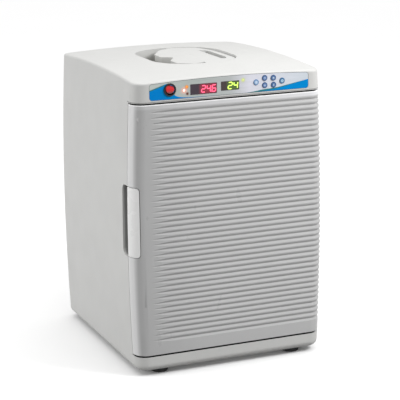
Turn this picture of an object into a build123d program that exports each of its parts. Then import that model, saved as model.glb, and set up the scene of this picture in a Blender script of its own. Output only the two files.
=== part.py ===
from build123d import *
import os
from functools import cache
from math import cos, radians, sin, sqrt

# Bench-top incubator: a moulded case with a ribbed door, a control panel and a folding handle.
# Frame: origin under the middle of the case on the bench, +X to the user's right as they face
# the door, +Y to the back, +Z up. Millimetres.

# Case
WIDTH = 320.0                # across the bulged sides
FRONT = -178.0               # face of the door and of the control panel
CASE_BACK = 167.0            # rear wall of the case
FOOT_H = 8.0                 # the case starts this far above the bench
CROWN = 464.5                # highest point of the domed top
DOME_R, DOME_Y = 2400.0, -5.5
BULGE_Z = 210.0              # height where the case is widest
SIDE_R = 4090.0              # radius of the bulged sides
FRONT_R, BACK_R, TOP_R, BASE_R = 20.0, 14.0, 3.5, 10.0
WALL = 2.9
FAR = 200.0                  # beyond every face of the case

# Door and its bay
BAY_Y = -154.0               # face that the door closes against
SILL, SOFFIT = 31.0, 424.0
DOOR_GAP = 2.5               # above and below the door
DOOR_LOW, DOOR_HIGH = SILL + DOOR_GAP, SOFFIT - DOOR_GAP
DOOR_BACK = -155.4
DOOR_SKIN = 3.5
DOOR_EDGE_R = 1.0              # rounding of the upper and lower edges
HINGE_X, HINGE_Y = 147.5, -167.5
PIN_R, BUSH_R, BUSH_L, FIT = 2.0, 3.4, 12.0, 0.05
STILE_X = 141.0              # the door is solid from here to its hinged edge
PLATE_Y0, PLATE_Y1 = -162.0, -159.5          # plate of the door's inner panel
PLATE_X0, PLATE_X1, PLATE_LOW, PLATE_HIGH = -150.3, 140.4, 38.0, 417.0
PLUG_X, PLUG_LOW, PLUG_HIGH, PLUG_BACK = 124.0, 52.0, 400.0, -145.0

# Ribs of the door
RIB_TOP, RIB_PITCH, RIB_GROOVES = 409.5, 8.4, 43
RIB_DEPTH = 1.9
RIB_FLANK = (2.02, 0.62)     # a point on the crowned flank: out from the groove's middle, and deep
RIB_MOUTH = (5.4, -0.39)     # where the flank's arc ends, clear of the door's surface
RIB_FADE_X, RIB_FADE_R, RIB_FADE_ANGLE = -92.0, 420.0, 6.6

# Chamber
ROOM_X, ROOM_BACK, ROOM_LOW, ROOM_HIGH, ROOM_R = 130.0, 62.0, 46.0, 406.0, 4.0
LINER = 2.0
FLANGE_X, FLANGE_LOW, FLANGE_HIGH, FLANGE_Y = 142.0, 36.0, 417.0, -155.0

# Door handle insert and the finger recess behind it
GRIP_X, GRIP_LOW, GRIP_HIGH, GRIP_T, GRIP_R = -148.3, 190.0, 297.0, 4.5, 5.0
GRIP_GAP = 1.1
RECESS_X, RECESS_BACK, RECESS_LOW, RECESS_HIGH = -146.0, -133.5, 188.0, 298.0

# Folding carry handle and its pocket
POCKET_X, POCKET_L, POCKET_R, POCKET_Y, POCKET_FLOOR = 71.0, 88.0, 60.0, -1.5, 423.0
FLOOR_R = 22.0
CARRY_X, CARRY_Z = -4.0, 455.5
CARRY_GAP, CARRY_LOW, CARRY_PIN_R = 2.4, 449.5, 4.0
TAB_X, TAB_L, TAB_NOTCH_X = -34.0, 77.0, -20.0       # reach, half length and finger notch of the tab
GRIP_BAR = 14.0
HOLE_X, HOLE_BACK = 37.0, 38.0                       # left and rear limits of the finger opening

# Control panel
PANEL_X, PANEL_LOW, PANEL_END, PANEL_TOP, PANEL_R, PANEL_T = 130.0, 427.5, 452.0, 456.0, 4.5, 1.0
RED_WINDOW = (-43.4, 439.5, 43.0, 16.0)      # centre x, centre z, width, height
GREEN_WINDOW = (-0.5, 441.0, 30.0, 14.0)
KEYS = {
    "key_menu": (42.2, 442.7),
    "key_up": (56.3, 448.2),
    "key_down": (56.5, 437.2),
    "key_start": (70.8, 447.4),
    "key_stop": (71.2, 436.8),
    "key_light": (85.4, 442.1),
}
KEY_R, KEY_FLANGE_R = 4.4, 5.2
LEDS = [(-70.5, 444.3), (-74.8, 439.3), (-69.6, 434.1), (20.8, 447.7)]
LED_R = 1.5
SWITCH_X, SWITCH_Z, BEZEL_R, ROCKER_R = -97.5, 442.0, 9.75, 6.4
ROCKER_Y, ROCKER_TILT = -174.0, 10.0
BOARD_Y, BOARD_T = -171.9, 1.6

# Feet
FOOT_X, FOOT_FRONT, FOOT_REAR, FOOT_R = 112.6, -153.0, 132.0, 14.0

# Rear
COVER_X, COVER_LOW, COVER_HIGH, COVER_T = 122.0, 44.0, 430.0, 2.5
BACK_OPEN_X, BACK_OPEN_LOW, BACK_OPEN_HIGH = 110.0, 56.0, 418.0
FAN_Z = 290.0
BLOWER_SIZE, BLOWER_T, BLOWER_Y = 80.0, 15.0, 65.0
EXHAUST_SIZE, EXHAUST_T, EXHAUST_Y = 92.0, 25.0, 138.5
DUCT_HALF = 48.0
FOAM_BACK = 104.0
INLET_X, INLET_Z = 70.0, 84.0
FUSE_X = 20.0

# Shelves
SHELF_Z = {"shelf_lower": 150.0, "shelf_upper": 262.0}
SHELF_X, SHELF_FRONT, SHELF_BACK, RUNNER = 121.0, -131.0, 50.0, 8.0


# ---- helpers ----

def block(x0, x1, y0, y1, z0, z1):
    return Pos((x0 + x1) / 2, (y0 + y1) / 2, (z0 + z1) / 2) * Box(x1 - x0, y1 - y0, z1 - z0)


def rod_x(y, z, radius, x0, x1):
    return Pos((x0 + x1) / 2, y, z) * Rot(0, 90, 0) * Cylinder(radius, x1 - x0)


def rod_y(x, z, radius, y0, y1):
    return Pos(x, (y0 + y1) / 2, z) * Rot(90, 0, 0) * Cylinder(radius, y1 - y0)


def rod_z(x, y, radius, z0, z1):
    return Pos(x, y, (z0 + z1) / 2) * Cylinder(radius, z1 - z0)


def upright(outline, y0, y1):
    """Extrude an outline, drawn as X and Z, from y1 forward to y0."""
    return extrude(Plane.XZ.offset(-y1) * outline, y1 - y0)


def screw(x, z, y_head, length, head_r=3.2, shank_r=1.5, facing=1):
    """Pan-head screw along Y; facing is +1 where its head looks to the back."""
    head = rod_y(x, z, head_r, min(y_head, y_head + 2 * facing), max(y_head, y_head + 2 * facing))
    head = fillet(head.edges().sort_by(Axis.Y)[-1 if facing > 0 else 0], 0.9)
    slot_y = y_head + 1.2 * facing
    ends = sorted((slot_y, slot_y + 2 * facing))
    cross = block(x - 1.8, x + 1.8, *ends, z - 0.35, z + 0.35)
    cross += block(x - 0.35, x + 0.35, *ends, z - 1.8, z + 1.8)
    tip = y_head - length * facing
    shank = rod_y(x, z, shank_r, min(y_head, tip), max(y_head, tip))
    return head - cross + shank


def side_x(z):
    """Half the width of the case at height z."""
    return WIDTH / 2 - SIDE_R + sqrt(SIDE_R ** 2 - (z - BULGE_Z) ** 2)


# ---- case ----

@cache
def case_body(inset=0.0):
    """The case's outer form as one solid, drawn in by an inset."""
    low, high = FOOT_H + inset, CROWN + 5
    foot_x, mid_x, head_x = side_x(FOOT_H) - inset, WIDTH / 2 - inset, side_x(high) - inset
    outline = make_face([
        Line((-foot_x, low), (foot_x, low)),
        ThreePointArc((foot_x, low), (mid_x, BULGE_Z), (head_x, high)),
        Line((head_x, high), (-head_x, high)),
        ThreePointArc((-head_x, high), (-mid_x, BULGE_Z), (-foot_x, low)),
    ])
    body = upright(outline, FRONT + inset, CASE_BACK - inset)
    for y, radius in ((FRONT + inset, FRONT_R), (CASE_BACK - inset, BACK_R)):
        corners = [e for e in body.edges() if abs(e.center().Y - y) < 0.01 and abs(e.center().X) > 100]
        body = fillet(corners, max(1.0, radius - inset))
    body &= Pos(0, DOME_Y, CROWN - DOME_R) * Rot(90, 0, 0) * Sphere(DOME_R - inset)
    body = fillet(body.faces().sort_by(Axis.Z)[-1].edges(), max(1.0, TOP_R - inset))
    return fillet(body.faces().sort_by(Axis.Z)[0].edges(), max(1.0, BASE_R - inset))


def pocket_outline(grow=0.0):
    return RectangleRounded(2 * (POCKET_X + grow), 2 * (POCKET_L + grow), POCKET_R + grow)


def handle_pocket(grow=0.0):
    void = extrude(Pos(0, POCKET_Y, POCKET_FLOOR - grow) * pocket_outline(grow), 2 * FLOOR_R + 20)
    return fillet(void.faces().sort_by(Axis.Z)[0].edges(), FLOOR_R + grow)


def finger_recess(grow=0.0):
    void = block(-FAR, RECESS_X + grow, -FAR, RECESS_BACK + grow, RECESS_LOW - grow, RECESS_HIGH + grow)
    rear = [e for e in void.edges().filter_by(Axis.X) if abs(e.center().Y - RECESS_BACK - grow) < 0.01]
    return fillet(rear, 10.0 + grow)


def panel_outline(grow=0.0):
    half, low = PANEL_X + grow, PANEL_LOW - grow
    outline = make_face([
        Line((-half, low), (half, low)),
        Line((half, low), (half, PANEL_END + grow)),
        ThreePointArc((half, PANEL_END + grow), (0, PANEL_TOP + grow), (-half, PANEL_END + grow)),
        Line((-half, PANEL_END + grow), (-half, low)),
    ])
    return fillet(outline.vertices(), PANEL_R + grow)


def window_block(window, grow, y0, y1):
    x, z, width, height = window
    return upright(Pos(x, z) * RectangleRounded(width + 2 * grow, height + 2 * grow, 1.0 + grow), y0, y1)


def panel_holes(grow, y0, y1):
    """Everything that passes through the control panel, as cutters."""
    holes = [window_block(w, grow, y0, y1) for w in (RED_WINDOW, GREEN_WINDOW)]
    holes += [rod_y(x, z, KEY_R + 0.2, y0, y1) for x, z in KEYS.values()]
    holes += [rod_y(x, z, LED_R + 0.05, y0, y1) for x, z in LEDS]
    holes.append(rod_y(SWITCH_X, SWITCH_Z, BEZEL_R - 0.8, y0, y1))
    return holes


def feet_places():
    return {
        "foot_front_left": (-FOOT_X, FOOT_FRONT),
        "foot_front_right": (FOOT_X, FOOT_FRONT),
        "foot_rear_left": (-FOOT_X, FOOT_REAR),
        "foot_rear_right": (FOOT_X, FOOT_REAR),
    }


def cover_screw_places():
    xs = (-COVER_X + 6, COVER_X - 6)
    zs = (COVER_LOW + 6, COVER_LOW + 130, COVER_HIGH - 130, COVER_HIGH - 6)
    return [(x, z) for x in xs for z in zs]


def board_post_places():
    return [(-112.0, 434.0), (112.0, 434.0), (-22.0, 450.6), (30.0, 433.0)]


def outer_case():
    bay = block(-FAR, FAR, -FAR, BAY_Y, SILL, SOFFIT)
    bay_walls = block(-FAR, FAR, -FAR, BAY_Y + WALL, SILL - WALL, SOFFIT + WALL)
    hollow = case_body(WALL) - [bay_walls, handle_pocket(WALL), finger_recess(WALL)]
    case = case_body() - [hollow, bay, handle_pocket(), finger_recess()]
    # bosses: feet, handle pins, board posts, cover screws
    bosses = [rod_z(x, y, 6, FOOT_H + 1, FOOT_H + WALL + 8) for x, y in feet_places().values()]
    for side in (-1, 1):
        y = POCKET_Y + side * (POCKET_L + 5)
        bosses.append(block(CARRY_X - 10, CARRY_X + 10, y - 4, y + 6, CARRY_Z - 12, CARRY_Z + 6))
    bosses += [rod_y(x, z, 3, FRONT + WALL - 0.5, BOARD_Y) for x, z in board_post_places()]
    bosses += [rod_y(x, z, 4, CASE_BACK - WALL - 5, CASE_BACK - 1) for x, z in cover_screw_places()]
    case += [boss & case_body(1.0) for boss in bosses]
    # openings of the chamber and of the rear wall
    case -= block(-ROOM_X - LINER, ROOM_X + LINER, BAY_Y - 1, BAY_Y + WALL + 1,
                  ROOM_LOW - LINER, ROOM_HIGH + LINER)
    opening = RectangleRounded(2 * BACK_OPEN_X, BACK_OPEN_HIGH - BACK_OPEN_LOW, 10)
    case -= upright(Pos(0, (BACK_OPEN_LOW + BACK_OPEN_HIGH) / 2) * opening, CASE_BACK - 8, CASE_BACK + 1)
    # control panel seat and its holes
    case -= upright(panel_outline(0.15), FRONT - 1, FRONT + PANEL_T)
    case -= panel_holes(0.1, FRONT - 1, FRONT + WALL + 1)
    # bores
    bores = [rod_z(x, y, 2.0, 0, FOOT_H + 16) for x, y in feet_places().values()]
    bores += [rod_y(x, z, 1.5, CASE_BACK - 10, CASE_BACK + 1) for x, z in cover_screw_places()]
    bores += [rod_y(x, z, 1.0, FRONT + WALL, BOARD_Y + 1) for x, z in board_post_places()]
    for side in (-1, 1):
        ends = sorted((POCKET_Y + side * (POCKET_L - 4), POCKET_Y + side * (POCKET_L + 9)))
        bores.append(rod_y(CARRY_X, CARRY_Z, CARRY_PIN_R, *ends))
    bores += [rod_z(HINGE_X, HINGE_Y, PIN_R, SOFFIT - 1, SOFFIT + WALL + 8)]
    bores += [rod_z(HINGE_X, HINGE_Y, PIN_R, SILL - WALL - 8, SILL + 1)]
    return case - bores


def insulation_foam():
    """Foam between the liner and the case, cut back around everything that shares the space."""
    foam = block(-FAR, FAR, BAY_Y + WALL + 0.4, FOAM_BACK, 0, POCKET_FLOOR - WALL - 1)
    foam &= case_body(WALL + 0.4)
    foam -= block(-ROOM_X - LINER - 0.3, ROOM_X + LINER + 0.3, -FAR, ROOM_BACK + LINER + 0.3,
                  ROOM_LOW - LINER - 0.3, ROOM_HIGH + LINER + 0.3)
    foam -= block(-DUCT_HALF, DUCT_HALF, 0, FAR, FAN_Z - DUCT_HALF, FAN_Z + DUCT_HALF)
    foam -= finger_recess(WALL + 0.4)
    return foam - [rod_z(x, y, 6.5, 0, FOOT_H + WALL + 10) for x, y in feet_places().values()]


def chamber_liner():
    back = ROOM_BACK + LINER
    liner = block(-ROOM_X - LINER, ROOM_X + LINER, BAY_Y, back, ROOM_LOW - LINER, ROOM_HIGH + LINER)
    liner += block(-FLANGE_X, FLANGE_X, FLANGE_Y, BAY_Y, FLANGE_LOW, FLANGE_HIGH)
    room = block(-ROOM_X, ROOM_X, FLANGE_Y - 1, ROOM_BACK, ROOM_LOW, ROOM_HIGH)
    liner -= fillet(room.edges().filter_by(Axis.Y), ROOM_R)
    liner -= rod_y(0, FAN_Z, 36, ROOM_BACK - 1, back + 1)
    slots = [block(-60, 60, ROOM_BACK - 1, back + 1, z, z + 4) for z in range(90, 131, 8)]
    return liner - slots


def shelf_rails():
    """Four moulded strips on the side walls that the shelves slide on."""
    rails = []
    for z in SHELF_Z.values():
        for side in (-1, 1):
            edge = side * (ROOM_X - RUNNER)
            rail = block(*sorted((edge, side * ROOM_X)), SHELF_FRONT - 8, ROOM_BACK, z - 9, z - 3)
            rails.append(fillet(rail.edges().filter_by(Axis.Y).group_by(Axis.X)[0 if side > 0 else -1], 1.5))
    return rails


def foot(x, y):
    pad = Pos(x, y, 0) * extrude(Circle(FOOT_R - 1.0), FOOT_H, taper=-6)
    pad = fillet(pad.edges().sort_by(Axis.Z)[0], 1.2)
    return pad - rod_z(x, y, 4.6, -1, 3.4) - rod_z(x, y, 2.0, 0, FOOT_H + 1)


def foot_screws():
    group = []
    for x, y in feet_places().values():
        head = fillet(rod_z(x, y, 4.2, 1.0, 3.4).edges().sort_by(Axis.Z)[0], 0.8)
        head -= block(x - 2.4, x + 2.4, y - 0.5, y + 0.5, 0, 2)
        head -= block(x - 0.5, x + 0.5, y - 2.4, y + 2.4, 0, 2)
        group.append(head + rod_z(x, y, 2.0, 3.4, FOOT_H + WALL + 6))
    return group


# ---- control panel ----

def panel_overlay():
    overlay = upright(panel_outline(), FRONT + 0.1, FRONT + PANEL_T)
    return overlay - panel_holes(0.0, FRONT - 1, FRONT + PANEL_T + 1)


def display_window(window):
    return window_block(window, -0.05, FRONT + 0.05, FRONT + PANEL_T)


def display_module(window):
    """Seven-segment block behind a window, with its pins through the board."""
    x, z, width, height = window
    body = block(x - width / 2 + 0.5, x + width / 2 - 0.5, FRONT + PANEL_T, BOARD_Y,
                 z - height / 2 + 0.5, z + height / 2 - 0.5)
    return fillet(body.edges().filter_by(Axis.Y), 0.8)


def control_board():
    board = block(-116, 116, BOARD_Y, BOARD_Y + BOARD_T, 430.5, 456.0)
    board &= upright(panel_outline(-2.0), BOARD_Y - 1, BOARD_Y + BOARD_T + 1)
    board -= rod_y(SWITCH_X, SWITCH_Z, BEZEL_R, BOARD_Y - 1, BOARD_Y + 3)
    board -= [rod_y(x, z, 1.0, BOARD_Y - 1, BOARD_Y + 3) for x, z in board_post_places()]
    chips = [block(x, x + w, BOARD_Y + BOARD_T, BOARD_Y + BOARD_T + h, z, z + d)
             for x, w, z, d, h in ((-60, 12, 436, 12, 1.6), (-30, 10, 436, 6, 1.8), (90, 14, 436, 10, 8))]
    return board + chips


def tact_switches():
    group = []
    for x, z in KEYS.values():
        base = block(x - 3, x + 3, BOARD_Y - 0.6, BOARD_Y, z - 3, z + 3)
        group.append(base + rod_y(x, z, 1.6, BOARD_Y - 1.0, BOARD_Y - 0.5))
    return group


def board_screws():
    return [screw(x, z, BOARD_Y + BOARD_T, 4.6, 2.4, 1.0) for x, z in board_post_places()]


def status_leds():
    lamps = []
    for x, z in LEDS:
        lamp = rod_y(x, z, LED_R, FRONT - 0.3, BOARD_Y)
        lamps.append(fillet(lamp.edges().sort_by(Axis.Y)[0], 0.9))
    return lamps


def power_switch_bezel():
    ring = rod_y(SWITCH_X, SWITCH_Z, BEZEL_R, FRONT - 2.0, FRONT + 0.1)
    ring = fillet(ring.edges().sort_by(Axis.Y)[0], 1.2)
    barrel = rod_y(SWITCH_X, SWITCH_Z, BEZEL_R - 0.9, FRONT + 0.1, FRONT + 18)
    mouth = rod_y(SWITCH_X, SWITCH_Z, ROCKER_R + 1.3, FRONT - 3, FRONT + 11)
    body = ring + barrel - mouth
    terminals = [block(SWITCH_X - 2.4, SWITCH_X + 2.4, FRONT + 18, FRONT + 25, z - 0.4, z + 0.4)
                 for z in (SWITCH_Z - 5, SWITCH_Z + 5)]
    body -= rod_x(ROCKER_Y, SWITCH_Z, 1.05 + FIT, SWITCH_X - ROCKER_R - 2.2, SWITCH_X + ROCKER_R + 2.2)
    return body + terminals


def power_switch_rocker():
    """Crowned round rocker on a stub axle, modelled at rest with its upper half pressed in."""
    disc = rod_y(SWITCH_X, SWITCH_Z, ROCKER_R, FRONT - 3, ROCKER_Y + 2.2)
    crown_r = 16.4
    disc &= rod_x(FRONT - 1.6 + crown_r, SWITCH_Z, crown_r, SWITCH_X - 10, SWITCH_X + 10)
    disc += rod_x(ROCKER_Y, SWITCH_Z, 2.6, SWITCH_X - 4, SWITCH_X + 4)
    disc += rod_x(ROCKER_Y, SWITCH_Z, 1.05, SWITCH_X - ROCKER_R - 2.0, SWITCH_X + ROCKER_R + 2.0)
    pivot = Pos(SWITCH_X, ROCKER_Y, SWITCH_Z)
    return pivot * Rot(-ROCKER_TILT, 0, 0) * pivot.inverse() * disc


def key(x, z):
    cap = rod_y(x, z, KEY_R, FRONT - 1.0, FRONT + WALL + 0.9)
    cap = fillet(cap.edges().sort_by(Axis.Y)[0], 0.8)
    return cap + rod_y(x, z, KEY_FLANGE_R, FRONT + WALL + 0.3, FRONT + WALL + 1.3)


# ---- door ----

def rib_groove(z):
    """Cutter for one groove: it fades in at the free edge and runs round the hinged corner."""
    (flank, depth), (mouth, lift), clear = RIB_FLANK, RIB_MOUTH, -2.0
    profile = make_face([
        ThreePointArc((0, RIB_DEPTH), (flank, depth), (mouth, lift)),
        Line((mouth, lift), (mouth, clear)),
        Line((mouth, clear), (-mouth, clear)),
        Line((-mouth, clear), (-mouth, lift)),
        ThreePointArc((-mouth, lift), (-flank, depth), (0, RIB_DEPTH)),
    ])
    corner_x, corner_y = side_x(z) - FRONT_R, FRONT + FRONT_R
    # the profile's second axis points into the door
    start = Plane(origin=(RIB_FADE_X, FRONT, z), x_dir=(0, 0, 1), z_dir=(-1, 0, 0)) * profile
    bend = Pos(corner_x - RIB_FADE_X, 0, 0) * start
    end = Pos(corner_x, corner_y, 0) * Rot(0, 0, 90) * Pos(-corner_x, -corner_y, 0) * bend
    groove = extrude(start, corner_x - RIB_FADE_X, dir=(1, 0, 0))
    groove += revolve(start, Axis((RIB_FADE_X, FRONT - RIB_FADE_R, z), (0, 0, 1)), RIB_FADE_ANGLE)
    groove += revolve(bend, Axis((corner_x, corner_y, z), (0, 0, 1)), 90)
    return groove + extrude(end, 12, dir=(0, 1, 0))


def door_form():
    """Outer form of the door; its hinged rear edge is round about the hinge pin."""
    form = case_body() & block(-FAR, FAR, -FAR, DOOR_BACK, DOOR_LOW, DOOR_HIGH)
    rims = form.faces().sort_by(Axis.Z)[0].edges() + form.faces().sort_by(Axis.Z)[-1].edges()
    form = fillet([e for e in rims if abs(e.center().Y - DOOR_BACK) > 0.5], DOOR_EDGE_R)
    edge = block(HINGE_X, FAR, HINGE_Y, 0, 0, CROWN)
    return form - (edge - rod_z(HINGE_X, HINGE_Y, DOOR_BACK - HINGE_Y, 0, CROWN))


def grip_zone(grow=0.0):
    zone = block(-FAR, GRIP_X + grow, -FAR, 0, GRIP_LOW - grow, GRIP_HIGH + grow)
    return fillet(zone.edges().filter_by(Axis.Y).sort_by(Axis.X)[-2:], GRIP_R + grow)


def door_screw_places():
    return [(-144.5, z) for z in (62.0, 150.0, 330.0, 400.0)]


def door_outer_panel():
    grip_backing = case_body(GRIP_T + 3.0)
    cavity = block(-FAR, STILE_X, FRONT + DOOR_SKIN, 0, DOOR_LOW + 3, DOOR_HIGH - 3) & case_body(DOOR_SKIN)
    cavity -= grip_zone(4.0) - grip_backing
    panel = door_form() - cavity
    panel += [rod_y(x, z, 4, FRONT + DOOR_SKIN - 0.5, PLATE_Y0) for x, z in door_screw_places()]
    panel -= [rod_y(x, z, 1.5, FRONT + DOOR_SKIN + 1, PLATE_Y0 + 1) for x, z in door_screw_places()]
    panel -= grip_zone(GRIP_GAP) - case_body(GRIP_T + 0.2)
    for z0, z1 in ((DOOR_LOW - 1, DOOR_LOW + BUSH_L), (DOOR_HIGH - BUSH_L, DOOR_HIGH + 1)):
        panel -= rod_z(HINGE_X, HINGE_Y, BUSH_R, z0, z1)
    grooves = [rib_groove(RIB_TOP - i * RIB_PITCH) for i in range(RIB_GROOVES)]
    passes = 4                               # every fourth groove at a time, so that none touch
    for first in range(passes):
        panel -= grooves[first::passes]
    return panel


def door_handle_grip():
    strip = (case_body() & grip_zone() & block(-FAR, FAR, -FAR, DOOR_BACK, 0, CROWN)) - case_body(GRIP_T)
    lip = block(-160, -155.6, DOOR_BACK - 3.0, DOOR_BACK, GRIP_LOW, GRIP_HIGH)
    return strip + (lip & case_body())


def door_foam():
    foam = block(PLATE_X0, STILE_X - 0.5, FRONT + DOOR_SKIN + 0.5, PLATE_Y0 - 0.2, PLATE_LOW, PLATE_HIGH)
    foam &= case_body(DOOR_SKIN + 0.4)
    foam -= grip_zone(4.5) - case_body(GRIP_T + 3.5)
    return foam - [rod_y(x, z, 4.4, FRONT, 0) for x, z in door_screw_places()]


def door_inner_panel():
    plate = block(PLATE_X0, PLATE_X1, PLATE_Y0, PLATE_Y1, PLATE_LOW, PLATE_HIGH)
    plug = block(-PLUG_X, PLUG_X, PLATE_Y0, PLUG_BACK, PLUG_LOW, PLUG_HIGH)
    plug = fillet(plug.edges().filter_by(Axis.Y), 10)
    plug = fillet(plug.faces().sort_by(Axis.Y)[-1].edges(), 4)
    skin = 2.5
    hollow = block(-PLUG_X + skin, PLUG_X - skin, PLATE_Y0 - 1, PLUG_BACK - skin,
                   PLUG_LOW + skin, PLUG_HIGH - skin)
    hollow = fillet(hollow.edges().filter_by(Axis.Y), 7.5)
    return plate + plug - hollow - [rod_y(x, z, 1.6, -FAR, 0) for x, z in door_screw_places()]


def ring(x_out, low, high, width, y0, y1, radius):
    """Upright rectangular ring, named by its outer edge and the width of its band."""
    outer = RectangleRounded(2 * x_out, high - low, radius)
    inner = RectangleRounded(2 * (x_out - width), high - low - 2 * width, radius - width / 2)
    return upright(Pos(0, (low + high) / 2) * (outer - inner), y0, y1)


def door_gasket():
    gasket = ring(139.0, 39.5, 413.0, 11.5, PLATE_Y1, FLANGE_Y - 0.25, 14)
    lips = ring(136.0, 42.5, 410.0, 5.5, PLATE_Y1 + 1.0, FLANGE_Y - 1.0, 11)
    return gasket - lips


def gasket_magnet():
    return ring(135.5, 43.0, 409.5, 4.5, PLATE_Y1 + 1.3, FLANGE_Y - 1.3, 10.5)


def door_screws():
    return [screw(x, z, PLATE_Y1, 8.0, 3.0, 1.5) for x, z in door_screw_places()]


def door_bush(z0):
    bush = rod_z(HINGE_X, HINGE_Y, BUSH_R, z0, z0 + BUSH_L)
    return bush - rod_z(HINGE_X, HINGE_Y, PIN_R + FIT, z0 - 1, z0 + BUSH_L + 1)


def hinge_pin(low):
    """Shouldered steel pin; the lower one stands in the sill and the upper one hangs from the soffit."""
    if low:
        pin = rod_z(HINGE_X, HINGE_Y, PIN_R, SILL - WALL - 4, DOOR_LOW + BUSH_L - 1)
        return pin + rod_z(HINGE_X, HINGE_Y, PIN_R + 1.2, SILL, DOOR_LOW - 0.4)
    pin = rod_z(HINGE_X, HINGE_Y, PIN_R, DOOR_HIGH - BUSH_L + 1, SOFFIT + WALL + 4)
    return pin + rod_z(HINGE_X, HINGE_Y, PIN_R + 1.2, DOOR_HIGH + 0.4, SOFFIT)


def hinge_bracket(low):
    """Steel plate inside the case that carries a hinge pin."""
    z0, z1 = (SILL - WALL - 2, SILL - WALL) if low else (SOFFIT + WALL, SOFFIT + WALL + 2)
    plate = block(112, 151, -173, BAY_Y - 1, z0, z1)
    plate = fillet(plate.edges().filter_by(Axis.Z), 4)
    plate &= case_body(WALL + 0.4)
    return plate - rod_z(HINGE_X, HINGE_Y, PIN_R, z0 - 1, z1 + 1)


# ---- carry handle ----

def carry_handle():
    """Plate that fills the right of the pocket; its short tab tips down as the grip comes up."""
    outline = pocket_outline(-CARRY_GAP)
    full = Pos(FAR / 2, 0) * Rectangle(FAR, 2 * FAR)
    tab = Polyline((1, -TAB_L), (-16, -TAB_L), (TAB_X, -50), (TAB_X, -20), (TAB_NOTCH_X, 0), (TAB_X, 20),
                   (TAB_X, 50), (-16, TAB_L), (1, TAB_L), close=True)
    tab = make_face(tab)
    tab = fillet([v for v in tab.vertices() if v.X < 0], 7)
    plan = Pos(0, POCKET_Y) * (outline & (full + tab))
    plate = extrude(Pos(0, 0, CARRY_LOW) * plan, CROWN - CARRY_LOW)
    plate &= case_body(0.5)
    # the top falls away to both ends
    for x, tilt, end in ((8, -6.5, Align.MAX), (32, 6, Align.MIN)):
        above = Box(80, 2 * FAR, 20, align=(end, Align.CENTER, Align.MIN))
        plate -= Pos(x, 0, CROWN - 0.6) * Rot(0, tilt, 0) * above
    # finger opening along the grip
    hole = pocket_outline(-CARRY_GAP - GRIP_BAR)
    hole &= Pos(HOLE_X + FAR / 2, HOLE_BACK - FAR / 2) * Rectangle(FAR, FAR)
    hole = fillet([v for v in hole.vertices() if v.X < HOLE_X + 1 or v.Y > HOLE_BACK - 1], 4)
    plate -= extrude(Pos(0, POCKET_Y, CARRY_LOW - 1) * hole, 30)
    for side in (-1, 1):
        ends = sorted((POCKET_Y + side * (TAB_L - 15), POCKET_Y + side * (TAB_L + 1)))
        plate -= rod_y(CARRY_X, CARRY_Z, CARRY_PIN_R + FIT, *ends)
    return plate


def handle_pins():
    pins = []
    for side in (-1, 1):
        ends = sorted((POCKET_Y + side * (TAB_L - 14), POCKET_Y + side * (POCKET_L + 9)))
        pins.append(rod_y(CARRY_X, CARRY_Z, CARRY_PIN_R, *ends))
    return pins


# ---- chamber fittings ----

def wire_shelf(z):
    """Welded wire shelf: a heavy rim, two cross bars and thin rods from front to back."""
    rim_r, wire_r, rods = 2.5, 1.4, 13
    middle = (SHELF_FRONT + SHELF_BACK) / 2
    loop = Pos(0, middle, z) * RectangleRounded(2 * SHELF_X, SHELF_BACK - SHELF_FRONT, 12)
    start = Plane(origin=(0, SHELF_FRONT, z), z_dir=(1, 0, 0))
    shelf = sweep(start * Circle(rim_r), loop.wire())
    step = 2 * SHELF_X / (rods + 1)
    shelf += [rod_x(y, z + 0.4, 2.0, -SHELF_X, SHELF_X) for y in (-70.0, -10.0)]
    shelf += [rod_y(-SHELF_X + step * (i + 1), z + 2.6, wire_r, SHELF_FRONT - 1.2, SHELF_BACK + 1.2)
              for i in range(rods)]
    for side in (-1, 1):
        ends = sorted((side * (SHELF_X - 1), side * (SHELF_X + 5.5)))
        shelf += block(*ends, -100, 20, z - 2.2, z + 1.3)
    return shelf


def fan_grille():
    """Round pressed guard over the circulation fan, on the chamber's rear wall."""
    plate = upright(Pos(0, FAN_Z) * RectangleRounded(96, 96, 12), ROOM_BACK - 2.5, ROOM_BACK)
    slots = []
    for radius in (12.0, 19.0, 26.0, 33.0):
        band = Circle(radius + 2.2) - Circle(radius - 2.2)
        band -= [Rot(0, 0, a) * Rectangle(100, 4) for a in (0, 60, 120)]
        slots.append(upright(Pos(0, FAN_Z) * band, ROOM_BACK - 4, ROOM_BACK + 1))
    return plate - slots


def fan_frame(size, depth, y0, hub_r):
    """Square fan housing with a motor hub on four struts at its rear."""
    bore = size / 2 - 2.0
    frame = upright(Pos(0, FAN_Z) * RectangleRounded(size, size, 5), y0, y0 + depth)
    frame -= rod_y(0, FAN_Z, bore, y0 - 1, y0 + depth + 1)
    hub = rod_y(0, FAN_Z, hub_r, y0 + depth - 3, y0 + depth)
    arm = rod_y(0, FAN_Z, bore + 1, y0 + depth - 3, y0 + depth)
    for angle in (45, 135):
        bar = Pos(0, FAN_Z) * Rot(0, 0, angle) * Rectangle(2 * bore + 2, 4)
        frame += upright(bar, y0 + depth - 3, y0 + depth) & arm
    frame += hub
    corners = [(sx * (size / 2 - 5), sz * (size / 2 - 5)) for sx in (-1, 1) for sz in (-1, 1)]
    frame -= [rod_y(x, FAN_Z + z, 2.0, y0 - 1, y0 + depth + 1) for x, z in corners]
    return frame - rod_y(0, FAN_Z, 1.5 + FIT, y0 + depth - 4, y0 + depth + 1)


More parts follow.
